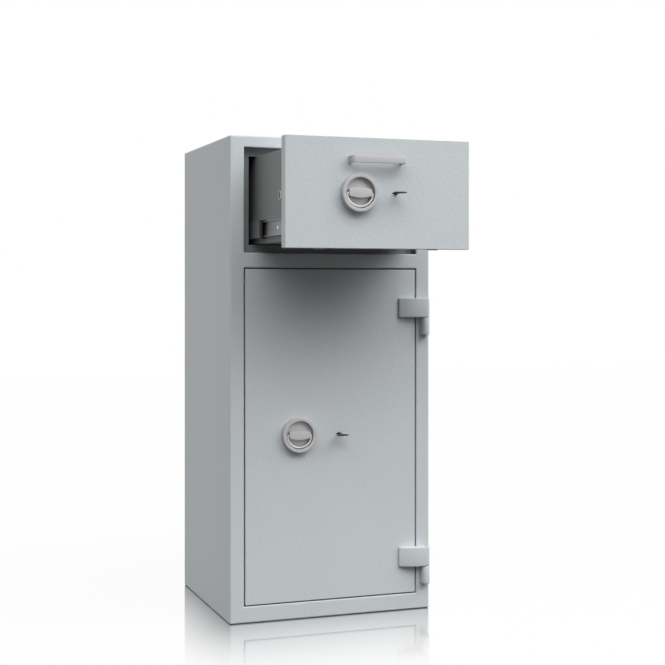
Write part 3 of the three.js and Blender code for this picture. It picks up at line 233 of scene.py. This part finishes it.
def pebbles_group():
    """Fine pebbling: two noises, one about 2 mm and one about 6 mm wide on the outer coat, as a normal
    that also rounds off the sheet's edges, and a slow change of tone over the sheet."""
    coarse_scale, coarse_height, relief, cloud_scale = 0.3, 1.4, 0.0004, 5.0

    group, given = empty_group("pebbles", {"Scale": 620.0, "Depth": 0.35, "Tone": 0.02, "Edge": 0.0025})
    place = add_node(group, "TexCoord").outputs["Object"]
    fine = noise(group, place, given["Scale"], 2.0)
    coarse = noise(group, place, math_node(group, "MULTIPLY", given["Scale"], coarse_scale), 1.0)
    height = math_node(group, "ADD", fine, math_node(group, "MULTIPLY", coarse, coarse_height))
    rounded = add_node(group, "Bevel", {"Radius": given["Edge"]})
    rounded.samples = 8
    bump = add_node(group, "Bump", {
        "Distance": relief, "Strength": given["Depth"], "Height": height, "Normal": rounded.outputs["Normal"],
    })
    put_out(group, bump.outputs["Normal"], (noise(group, place, cloud_scale, 3.0), coarse), given["Tone"])
    return group


pebbles = pebbles_group()


def finish_with(name, group, colour, roughness, metallic, spread, **values):
    """A material whose normal and tone come from a group with these values. The tone scales the colour,
    and spread is how far the roughness follows the tone."""
    finish = bpy.data.materials.new(name)
    finish.use_nodes = True
    tree = finish.node_tree
    shader = tree.nodes["Principled BSDF"].inputs
    shader["Metallic"].default_value = metallic
    shader["Roughness"].default_value = roughness
    effect = add_node(tree, "Group")
    effect.node_tree = group
    for key, value in values.items():
        effect.inputs[key].default_value = value
    tone = effect.outputs["Tone"]
    toned = add_node(tree, "VectorMath", {0: colour, "Scale": tone}, "SCALE")
    rougher = math_node(tree, "MULTIPLY", math_node(tree, "SUBTRACT", tone, 1.0), spread)
    tree.links.new(effect.outputs["Normal"], shader["Normal"])
    tree.links.new(toned.outputs["Vector"], shader["Base Color"])
    tree.links.new(math_node(tree, "ADD", rougher, roughness), shader["Roughness"])
    return finish


def dress(finish, *nodes):
    """Gives CAD nodes this finish."""
    for node in nodes:
        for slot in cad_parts[node].material_slots:
            slot.material = finish


coat_grey = (0.615, 0.647, 0.665)
coat_skin = {"Scale": 520.0, "Depth": 0.70, "Tone": 0.07}
powder_coat = finish_with(
    "powder_coat", pebbles, coat_grey, roughness=0.46, metallic=0.0, spread=0.8, Edge=0.0045, **coat_skin,
)
dress(powder_coat, "outer_casing")
# The frame's dark grey is painted shade for the rebates and the gaps round the door and drawer, not a coat of
# its own.
rebate_coat = finish_with(
    "rebate_coat", pebbles, (0.250, 0.262, 0.270), roughness=0.50, metallic=0.0, spread=0.6,
    Scale=620.0, Depth=0.30, Tone=0.05,
)
dress(rebate_coat, "front_frame")


# Lining of the lower and the upper compartment, the floor between them and the runner brackets. Thinner
# sheet with a smoother, dark grey coat: partly the sheet's own darker paint, partly painted shade that
# darkens the inside of the drawer's bay. A coarse mineral mass fills the walls behind it.
# Its dark grey is partly the sheet's own darker paint and partly painted shade for the deep bay.
inner_coat = finish_with(
    "inner_coat", pebbles, (0.245, 0.247, 0.246), roughness=0.55, metallic=0.0, spread=0.6,
    Scale=420.0, Depth=0.16, Tone=0.04,
)
dress(inner_coat, "inner_liner", "compartment_divider", "runner_bracket_left", "runner_bracket_right")
mineral = finish_with(
    "mineral_filling", pebbles, (0.36, 0.35, 0.33), roughness=0.92, metallic=0.0, spread=0.2,
    Scale=240.0, Depth=0.9, Tone=0.35,
)
dress(mineral, "wall_infill")


# Drop chute and telescopic runners. Zinc-plated steel sheet, with the faint drawn lines of the coil along
# the runner and the cloudy tone of the plating.
def drawn_group():
    """Drawn metal: a noise stretched along one axis makes fine lines in the normal, and with a cloudy
    noise about 30 mm wide it changes the tone."""
    relief, cloud_scale = 0.0002, 35.0

    group, given = empty_group("drawn_metal", {"Stretch": (900.0, 25.0, 900.0), "Depth": 0.12, "Tone": 0.08})
    place = add_node(group, "TexCoord").outputs["Object"]
    stretched = add_node(group, "VectorMath", {0: place, 1: given["Stretch"]}, "MULTIPLY")
    lines = noise(group, stretched.outputs["Vector"], 1.0, 2.0)
    bump = add_node(group, "Bump", {"Distance": relief, "Strength": given["Depth"], "Height": lines})
    put_out(group, bump.outputs["Normal"], (noise(group, place, cloud_scale, 3.0), lines), given["Tone"])
    return group


drawn_metal = drawn_group()
zinc = finish_with(
    "zinc_plate", drawn_metal, (0.330, 0.333, 0.340), roughness=0.42, metallic=0.80, spread=0.8,
    Stretch=(900, 25, 900), Depth=0.15, Tone=0.22,
)
dress(zinc, "drop_chute", "runner_outer_left", "runner_outer_right", "runner_middle_left",
      "runner_middle_right", "runner_inner_left", "runner_inner_right")


# Keepers. Two boxes of bright steel, fixed to the cabinet's sides in the drawer's bay. Each has a hole that
# a bolt of the drawer shoots into, which holds the drawer shut.
steel = finish_with(
    "bright_steel", drawn_metal, (0.66, 0.665, 0.67), roughness=0.26, metallic=0.95, spread=0.6,
    Stretch=(700, 700, 60), Depth=0.08, Tone=0.10,
)
dress(steel, "drawer_keeper_left", "drawer_keeper_right")


# Door. A folded steel panel in the cabinet's coat, with crisp edges, an inner cover over its boltwork and a
# fixed bar along its hinge side. The boltwork and the locks are zinc-plated and bright steel.
panel_coat = finish_with(
    "panel_coat", pebbles, coat_grey, roughness=0.46, metallic=0.0, spread=0.8, Edge=0.0008, **coat_skin,
)
dress(panel_coat, "door_panel")
dress(inner_coat, "door_inner_cover", "door_security_bar")
dress(zinc, "door_bolt_bar", "door_lock_case", "drawer_lock_case")
dress(steel, "door_bolt_lower", "door_bolt_middle", "door_bolt_upper", "door_handle_spindle",
      "drawer_handle_spindle", "door_pinion", "drawer_pinion", "door_lock_bolt", "drawer_lock_bolt")


# Rotary handles, one on the door and one on the drawer. A satin die-cast ring stands round a dish with a
# grip bar across it, and a bright wire bail hangs from the bar's ends. Dish and bar turn together.
satin = finish_with(
    "satin_metal", pebbles, (0.500, 0.500, 0.495), roughness=0.46, metallic=0.30, spread=0.8,
    Scale=1500.0, Depth=0.18, Tone=0.05, Edge=0.0006,
)
wire_steel = finish_with(
    "wire_steel", drawn_metal, (0.68, 0.68, 0.68), roughness=0.30, metallic=0.65, spread=0.4,
    Stretch=(400, 400, 400), Depth=0.02, Tone=0.05,
)


def net(points, wrapped=False):
    """The quads of a grid of points, rows x columns x 3. Each row is a closed ring, and where the rows
    are wrapped, the last ring joins up with the first."""
    rows, columns = points.shape[:2]
    r, c = np.meshgrid(np.arange(rows if wrapped else rows - 1), np.arange(columns), indexing="ij")
    r1, c1 = (r + 1) % rows, (c + 1) % columns
    quads = np.stack([r * columns + c, r1 * columns + c, r1 * columns + c1, r * columns + c1], -1)
    return points.reshape(-1, 3), quads.reshape(-1, 4).tolist()


def capped(points):
    """A grid of rings, closed at both ends by a flat face."""
    places, faces = net(points)
    columns = points.shape[1]
    faces.append(list(range(columns)))
    faces.append(list(range(len(places) - 1, len(places) - 1 - columns, -1)))
    return places, faces


def new_piece(name, body, slot, finish, shells, *replaced):
    """One mesh of closed shells in millimetres. Each is turned to face outwards, which it does where its
    signed volume, the sum over its faces of area vector times centre, is above zero."""
    sharp_past = math.radians(38)
    places, faces, start = [], [], 0
    for shell_places, shell_faces in shells:
        volume = 0.0
        for count in {len(face) for face in shell_faces}:
            corner = shell_places[np.array([face for face in shell_faces if len(face) == count])]
            volume += (np.cross(corner, np.roll(corner, -1, 1)).sum(1) * corner.mean(1)).sum()
        outwards = shell_faces if volume > 0 else [face[::-1] for face in shell_faces]
        places.append(shell_places)
        faces.extend([[i + start for i in face] for face in outwards])
        start += len(shell_places)
    mesh = bpy.data.meshes.new(name)
    mesh.from_pydata((np.concatenate(places) * mm).tolist(), [], faces)
    mesh.polygons.foreach_set("use_smooth", np.ones(len(mesh.polygons), bool))
    mesh.set_sharp_from_angle(angle=sharp_past)
    mesh.update()
    mesh.materials.append(finish)
    piece = bpy.data.objects.new(name, mesh)
    bpy.context.scene.collection.objects.link(piece)
    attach(piece, body)
    if replaced:
        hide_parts(*replaced)


def turned_round(profile, centre, axis, steps=96):
    """A profile of (radius, distance along the axis) carried round an axis through centre, as rings
    along the profile."""
    radius, distance = np.asarray(profile, float).T[..., None]
    angle = np.linspace(0, 2 * np.pi, steps, endpoint=False)
    rings = [radius * np.cos(angle), radius * np.sin(angle)]
    rings.insert("xyz".index(axis), np.repeat(distance, steps, 1))
    return np.stack(rings, -1) + centre


def corner_arc(centre, radius, start, end, steps):
    """Points of an arc in a profile, from one angle to another in degrees."""
    angle = np.radians(np.linspace(start, end, steps + 1))
    return np.stack([centre[0] + radius * np.cos(angle), centre[1] + radius * np.sin(angle)], -1)


def inset(outline, amount):
    """A closed counter-clockwise outline moved inwards along the mitre at each of its points, which at a
    sharp corner is at most twice as long as the inset."""
    before = outline - np.roll(outline, 1, 0)
    after = np.roll(outline, -1, 0) - outline
    before /= np.linalg.norm(before, axis=1, keepdims=True)
    after /= np.linalg.norm(after, axis=1, keepdims=True)
    sides = [np.stack([-edge[:, 1], edge[:, 0]], -1) for edge in (before, after)]
    mitre = sides[0] + sides[1]
    mitre /= np.linalg.norm(mitre, axis=1, keepdims=True)
    share = np.maximum((mitre * sides[0]).sum(1, keepdims=True), 1 / 2)
    return outline + mitre / share * amount


def slab(outline, low, high, edge, steps=4):
    """An outline raised from low to high, both ends rounded off over edge: rings of (u, v, height)."""
    angle = np.linspace(0, np.pi / 2, steps + 1)
    rings = [(edge * (1 - math.sin(a)), low + edge * (1 - math.cos(a))) for a in angle]
    rings += [(edge * (1 - math.sin(a)), high - edge * (1 - math.cos(a))) for a in angle[::-1]]
    return np.stack([np.column_stack([inset(outline, i), np.full(len(outline), h)]) for i, h in rings])


def swept(path, radius):
    """A round wire along a path that lies in a plane square to Y: a circle at each point, set square to
    the path's direction there."""
    along = np.gradient(path, axis=0)
    along /= np.linalg.norm(along, axis=1, keepdims=True)
    across = np.array([0.0, 1.0, 0.0])
    side = np.cross(along, across)
    angle = np.linspace(0, 2 * np.pi, 16, endpoint=False)
    ring = np.cos(angle)[None, :, None] * side[:, None] + np.sin(angle)[None, :, None] * across
    return path[:, None] + radius * ring


def handle_ring(owner, centre):
    """The ring's section is a broad flat lip with a large round outside and a small one inside."""
    outer, inner, height, big, small, clearance = 43.5, 35.2, 18.0, 2.2, 1.2, 0.3
    profile = np.concatenate([
        [(inner, clearance), (outer, clearance)],
        corner_arc((outer - big, height - big), big, 0, 90, 8),
        corner_arc((inner + small, height - small), small, 90, 180, 5),
    ])
    ring = net(turned_round(profile * (1, -1), centre, "y"), wrapped=True)
    new_piece(f"{owner}_handle_ring_cast", owner, "satin_metal", satin, [ring], f"{owner}_handle_ring")


def handle_knob(owner, centre):
    """A dish floor, and on it the grip bar: two shallow arcs cut off by two short ends."""
    radius, middle_disc, floor_top, floor_low, rim = 34.9, 8.0, 5.0, 2.0, 0.5
    profile = np.concatenate([
        [(middle_disc, floor_low), (radius, floor_low)],
        corner_arc((radius - rim, floor_top - rim), rim, 0, 90, 3),
        [(middle_disc, floor_top)],
    ])
    dish = turned_round(profile * (1, -1), centre, "y")

    half, middle, end, sunk, top, edge = 27.5, 12.0, 7.5, 1.0, 18.0, 1.5
    along = np.linspace(-half, half, 33)
    bulge = end + (middle - end) * (1 - (along / half) ** 2)
    outline = np.concatenate([
        np.stack([along, -bulge], -1),
        np.stack([along[::-1], bulge[::-1]], -1),
    ])
    bar = slab(outline, floor_top - sunk, top, edge)[..., [0, 2, 1]] * (1, -1, 1) + centre
    new_piece(f"{owner}_handle_knob_cast", f"{owner}_handle", "satin_metal", satin,
              [capped(dish), capped(bar)], f"{owner}_handle_knob")


def handle_bail(owner, centre):
    """Half a ring of wire, bent inwards at both ends to enter the grip bar."""
    reach, wire, inner, bend, pivot = 30.6, 2.6, 22.8, 3.6, 12.0
    angle = np.radians(np.linspace(180, 360, 49))
    ring = np.stack([reach * np.cos(angle), (reach - bend) * np.sin(angle) - bend], -1)
    turn = corner_arc((reach - bend, -bend), bend, 0, 90, 6)
    right = np.concatenate([turn[1:], [(inner, 0)]])
    left = right[::-1] * (-1, 1)
    path = np.concatenate([left, ring, right])
    path = np.stack([path[:, 0], np.full(len(path), -pivot), path[:, 1]], -1)
    new_piece(f"{owner}_handle_bail_wire", f"{owner}_bail", "bright_steel", wire_steel,
              [capped(swept(path, wire) + centre)], f"{owner}_handle_bail")


panel_face = {"door": -238.0, "drawer": -560.0}
for owner, x, z in (("door", -90.0, 459.0), ("drawer", -52.0, 1041.0)):
    centre = np.array([x, panel_face[owner], z])
    handle_ring(owner, centre)
    handle_knob(owner, centre)
    handle_bail(owner, centre)


# Keys, one in each lock. Double-bitted, with a flat oval bow that has a slot for the ring, of near-black
# steel: partly the key's own dark steel, partly painted shade for the shadow round the key and keyhole.
# The keyhole is lined with a thin sleeve of black plastic: painted shade that darkens the keyhole.
# The keys' near-black colour is partly their own dark steel and partly painted shade round the keyhole.
key_steel = finish_with(
    "key_steel", drawn_metal, (0.045, 0.045, 0.047), roughness=0.34, metallic=0.9, spread=0.4,
    Stretch=(500, 500, 500), Depth=0.05, Tone=0.12,
)
black = finish_with(
    "black_plastic", pebbles, (0.018, 0.018, 0.020), roughness=0.48, metallic=0.0, spread=0.3,
    Scale=900.0, Depth=0.2, Tone=0.2, Edge=0.0005,
)
dull_gloss = 0.2
black.node_tree.nodes["Principled BSDF"].inputs["Specular IOR Level"].default_value = dull_gloss


def oval(centre, half):
    """An ellipse round a centre, counter-clockwise, with these half widths."""
    angle = np.linspace(0, 2 * np.pi, 48, endpoint=False)
    return np.stack([centre[0] + half[0] * np.cos(angle), centre[1] + half[1] * np.sin(angle)], -1)


def key_bow():
    """A flat ring between two ellipses: out over the rim, and back through the slot with its edge also
    rounded off. The slot's outline runs the other way, so that the rounding widens it."""
    half_thick, rim_edge, slot_edge = 1.3, 0.8, 0.5
    rim = slab(oval((0, -30.5), (15, 13.5)), -half_thick, half_thick, rim_edge, 3)
    slot = slab(oval((0, -35.9), (7.5, 3.5))[::-1], -half_thick, half_thick, slot_edge, 3)[::-1, ::-1]
    return net(np.concatenate([rim, slot]), wrapped=True)


def key_shank():
    """Turned from the tip to the bow: a point, the shank, and a collar that meets the panel."""
    shank, tip, neck, collar, rounding = 2.6, 1.4, 1.8, 4.6, 0.8
    profile = np.concatenate([
        [(tip, 38), (shank, 36.8), (shank, -0.3), (collar, -0.3)],
        corner_arc((collar - rounding, -2.5), rounding, 0, -90, 4),
        [(shank, -3.3), (shank, -20), (neck, -21)],
    ])
    return capped(turned_round(profile, (0, 0, 0), "y", 32))


def key_bits():
    """One plate across the shank, with a step cut into each of its ends."""
    half, near, far, step, half_thick, edge = 8.0, 29.5, 38.0, 2.4, 1.1, 0.2
    outline = np.array([
        (-half, near), (half, near), (half, far - step), (half - step, far - step), (half - step, far),
        (step - half, far), (step - half, far - step), (-half, far - step),
    ])
    return capped(slab(outline, -half_thick, half_thick, edge, 2))


# A black lining of the keyhole: painted shade that darkens it.
def keyhole_shade_sleeve():
    """Round the keyhole, at each angle, the farther of a circle and a long narrow slot."""
    circle, half_long, half_high, wall, front, back = 2.87, 8.55, 1.55, 0.2, 0.3, 27.8
    angle = np.linspace(0, 2 * np.pi, 96, endpoint=False)
    across, up = (np.maximum(np.abs(share), 1e-6) for share in (np.cos(angle), np.sin(angle)))
    hole = np.maximum(circle, np.minimum(half_long / across, half_high / up))
    rings = []
    for depth, inwards in ((back, 0.0), (front, 0.0), (front, wall), (back, wall)):
        reach = hole - inwards
        rings.append(np.stack([reach * np.cos(angle), np.full(len(angle), depth), reach * np.sin(angle)], -1))
    return net(np.array(rings), wrapped=True)


for owner, x, z in (("door", 18.5, 457.5), ("drawer", 40.0, 1042.5)):
    keyhole = np.array([x, panel_face[owner], z])
    shells = [(places + keyhole, faces) for places, faces in (key_bow(), key_shank(), key_bits())]
    new_piece(f"{owner}_key_dark_and_shaded", f"{owner}_key", "bright_steel", key_steel, shells, f"{owner}_key")
    places, faces = keyhole_shade_sleeve()
    new_piece(f"{owner}_keyhole_shade_sleeve", owner, "black_plastic", black, [(places + keyhole, faces)])


# Drawer. A steel box behind a thick front, with a cover over its boltwork, a sloping floor that leads the
# deposit to the mouth in the rear, and a frame that the lid shuts on.
dress(panel_coat, "drawer_front")
dress(inner_coat, "drawer_box", "drawer_lock_cover", "drawer_chute_floor", "drawer_top_frame")


# Pull handle. A satin flat bar bent at both ends. It stands on the drawer's front above the rotary handle
# and is screwed on from behind.
def pull_handle():
    """The bar's middle line is a U seen from above; its section is a flat bar with rounded edges."""
    x0, x1, depth, grip, height, z, clearance, edge = -75.5, 55.5, 30.0, 6.0, 17.0, 1117.0, 0.3, 1.2
    front, back = panel_face["drawer"] - depth, panel_face["drawer"] - clearance
    outer, inner = 8.0, 2.9
    outline = np.concatenate([
        [(x0, back)],
        corner_arc((x0 + outer, front + outer), outer, 180, 270, 8),
        corner_arc((x1 - outer, front + outer), outer, 270, 360, 8),
        [(x1, back), (x1 - grip, back)],
        corner_arc((x1 - grip - inner, front + grip + inner), inner, 0, -90, 6),
        corner_arc((x0 + grip + inner, front + grip + inner), inner, -90, -180, 6),
        [(x0 + grip, back)],
    ])
    bar = slab(outline, z - height / 2, z + height / 2, edge, 3)
    new_piece("drawer_pull_bar", "drawer", "satin_metal", satin, [capped(bar)], "drawer_pull_handle")


pull_handle()


# Hinges. Solid lift-off hinges, welded on and coated with the cabinet. The wing on the door sweeps forward
# to its barrel, which turns on a blackened steel pin in the leaf on the frame.
def box_in_mm(node):
    """A node's lowest and highest corners in millimetres."""
    return np.array([list(corner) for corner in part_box(node)]) / mm


def hinge(level):
    """From above, the wing is a thin end, an arc that grows forward until it touches the barrel's front,
    the barrel's right half and a flat back. Its bore has a point for each point of that outline."""
    radius, end, edge, gap, heel = 10.0, 5.5, 1.2, 0.8, 2.0
    pin, play, chamfer, root, sunk, leaf_cut = 5.0, 0.3, 0.8, 3.0, 4.0, 4.0
    (left, front, low), (right, back, top) = box_in_mm(f"hinge_door_strap_{level}")
    foot = box_in_mm(f"hinge_frame_leaf_{level}")[0][2] + leaf_cut
    axis = np.array([right - (back - front) / 2, (front + back) / 2])
    nose = np.array([axis[0], axis[1] - radius])
    rise = back - end - nose[1]
    turn = 2 * math.atan2(rise, axis[0] - left)
    bend = (axis[0] - left) / math.sin(turn)
    wing = np.concatenate([
        corner_arc(nose + (0, bend), bend, -90 - math.degrees(turn), -90, 18),
        corner_arc(axis, radius, -90, 90, 24)[1:],
        [(axis[0] - heel, back), (left, back)],
    ])
    rings = list(slab(wing, low, top, edge))
    angle = np.arctan2(wing[:, 1] - axis[1], wing[:, 0] - axis[0])
    for height in (top, low):
        x, y = axis[0] + (pin + play) * np.cos(angle), axis[1] + (pin + play) * np.sin(angle)
        rings.append(np.stack([x, y, np.full(len(angle), height)], -1))
    new_piece(f"hinge_wing_{level}", "door", "body_paint", powder_coat,
              [net(np.array(rings), wrapped=True)], f"hinge_door_strap_{level}")

    leaf = np.concatenate([
        corner_arc(axis, radius, 180, 360, 32), [(axis[0] + radius, back), (axis[0] - radius, back)],
    ])
    new_piece(f"hinge_leaf_{level}", "cabinet", "body_paint", powder_coat,
              [capped(slab(leaf, foot, low - gap, edge))], f"hinge_frame_leaf_{level}")

    profile = [(pin, low - root), (pin, top - sunk - chamfer), (pin - chamfer, top - sunk)]
    new_piece(f"hinge_pin_{level}", "cabinet", "bright_steel", key_steel,
              [capped(turned_round(profile, (*axis, 0), "z", 48))])


for level in ("upper", "lower"):
    hinge(level)


# Bolts of the drawer, and their bushes. The two bolts are round bars of blackened steel, which the rotary
# handle moves. The bright turned bushes guide them through the box's sides, with a flange on the inside.
dress(key_steel, "drawer_bolt_left", "drawer_bolt_right")
mirrored_sides = (("left", -1), ("right", 1))


def bolt_bush(side):
    """Turned: the bore, a flange inside the box, and a rounded lip outside it."""
    bore, sleeve, flange, lip, chamfer = 9.3, 10.5, 12.4, 0.9, 0.3
    inside, wall, outside = 188.7, 190.7, 203.0
    profile = np.concatenate([
        [(bore, inside), (flange, inside), (flange, wall), (sleeve, wall)],
        corner_arc((sleeve - lip, outside - lip), lip, 0, 90, 6),
        [(bore + chamfer, outside), (bore, outside - chamfer)],
    ])
    return net(turned_round(profile * (1, side), (0, -442, 1041), "x", 64), wrapped=True)


for name, side in mirrored_sides:
    new_piece(f"bolt_bush_{name}", "drawer", "bright_steel", steel, [bolt_bush(side)],
              f"drawer_bolt_bush_{name}")


# End caps of the runners' middle members. Short C-shaped mouldings of black plastic, pushed over the front
# end of each member.
def runner_cap(side):
    """A short C with rounded edges that closes round the end of the middle member."""
    near, far, inner, outer, low, high, wall, edge = -308.0, -291.0, 195.3, 206.2, 944.5, 989.5, 3.5, 0.6
    outline = np.array([
        (inner, low), (outer, low), (outer, high), (inner, high), (inner, high - wall),
        (outer - wall, high - wall), (outer - wall, low + wall), (inner, low + wall),
    ])
    return capped(slab(outline, near, far, edge, 3)[..., [0, 2, 1]] * (side, 1, 1))


for name, side in mirrored_sides:
    new_piece(f"runner_end_cap_{name}", f"runner_middle_{name}", "black_plastic", black, [runner_cap(side)],
              f"runner_cap_{name}")


# Pan-head screws. Three hold each inner runner member to the drawer's box, seen through its oval holes,
# and eight hold the cover over the door's boltwork.
def screw_head(centre, axis, side=1):
    """A low dome on a short edge with a dished socket in the middle, turned about the screw's axis."""
    radius, edge, rise, socket, socket_depth, tip, tip_depth = 4.6, 0.7, 1.1, 1.932, 0.9, 0.4, 1.2
    dome = [(radius * math.cos(a), edge + rise * math.sin(a)) for a in np.radians((0, 25, 50, 64))]
    top = edge + rise
    profile = np.array([
        (radius, 0.0), *dome, (socket, top), (socket * 0.9, top - socket_depth), (tip, top - tip_depth),
    ])
    return capped(turned_round(profile * (1, side), centre, axis, 32))


for name, side in mirrored_sides:
    heads = [screw_head((side * 194.8, y, 967.0), "x", side) for y in (-491.1, -404.2, -237.8)]
    new_piece(f"runner_screws_{name}", "drawer", "bright_steel", steel, heads)

side_margin, end_margin, seated = 16.0, 18.0, 0.2
cover_low, cover_high = box_in_mm("door_inner_cover")
heads = [
    screw_head((x, cover_high[1] - seated, z), "y")
    for x in (cover_low[0] + side_margin, cover_high[0] - side_margin)
    for z in np.linspace(cover_low[2] + end_margin, cover_high[2] - end_margin, 4)
]
new_piece("door_cover_screws", "door", "bright_steel", steel, heads)


# Lid. A shallow pan of folded steel in the cabinet's coat, over the tray. It turns on a pin hinge at the
# right and is held down by a cam lock at its free edge, both zinc-plated.
dress(panel_coat, "drawer_lid")
dress(zinc, "lid_hinge_leaf", "lid_lock_barrel", "lid_lock_cam")
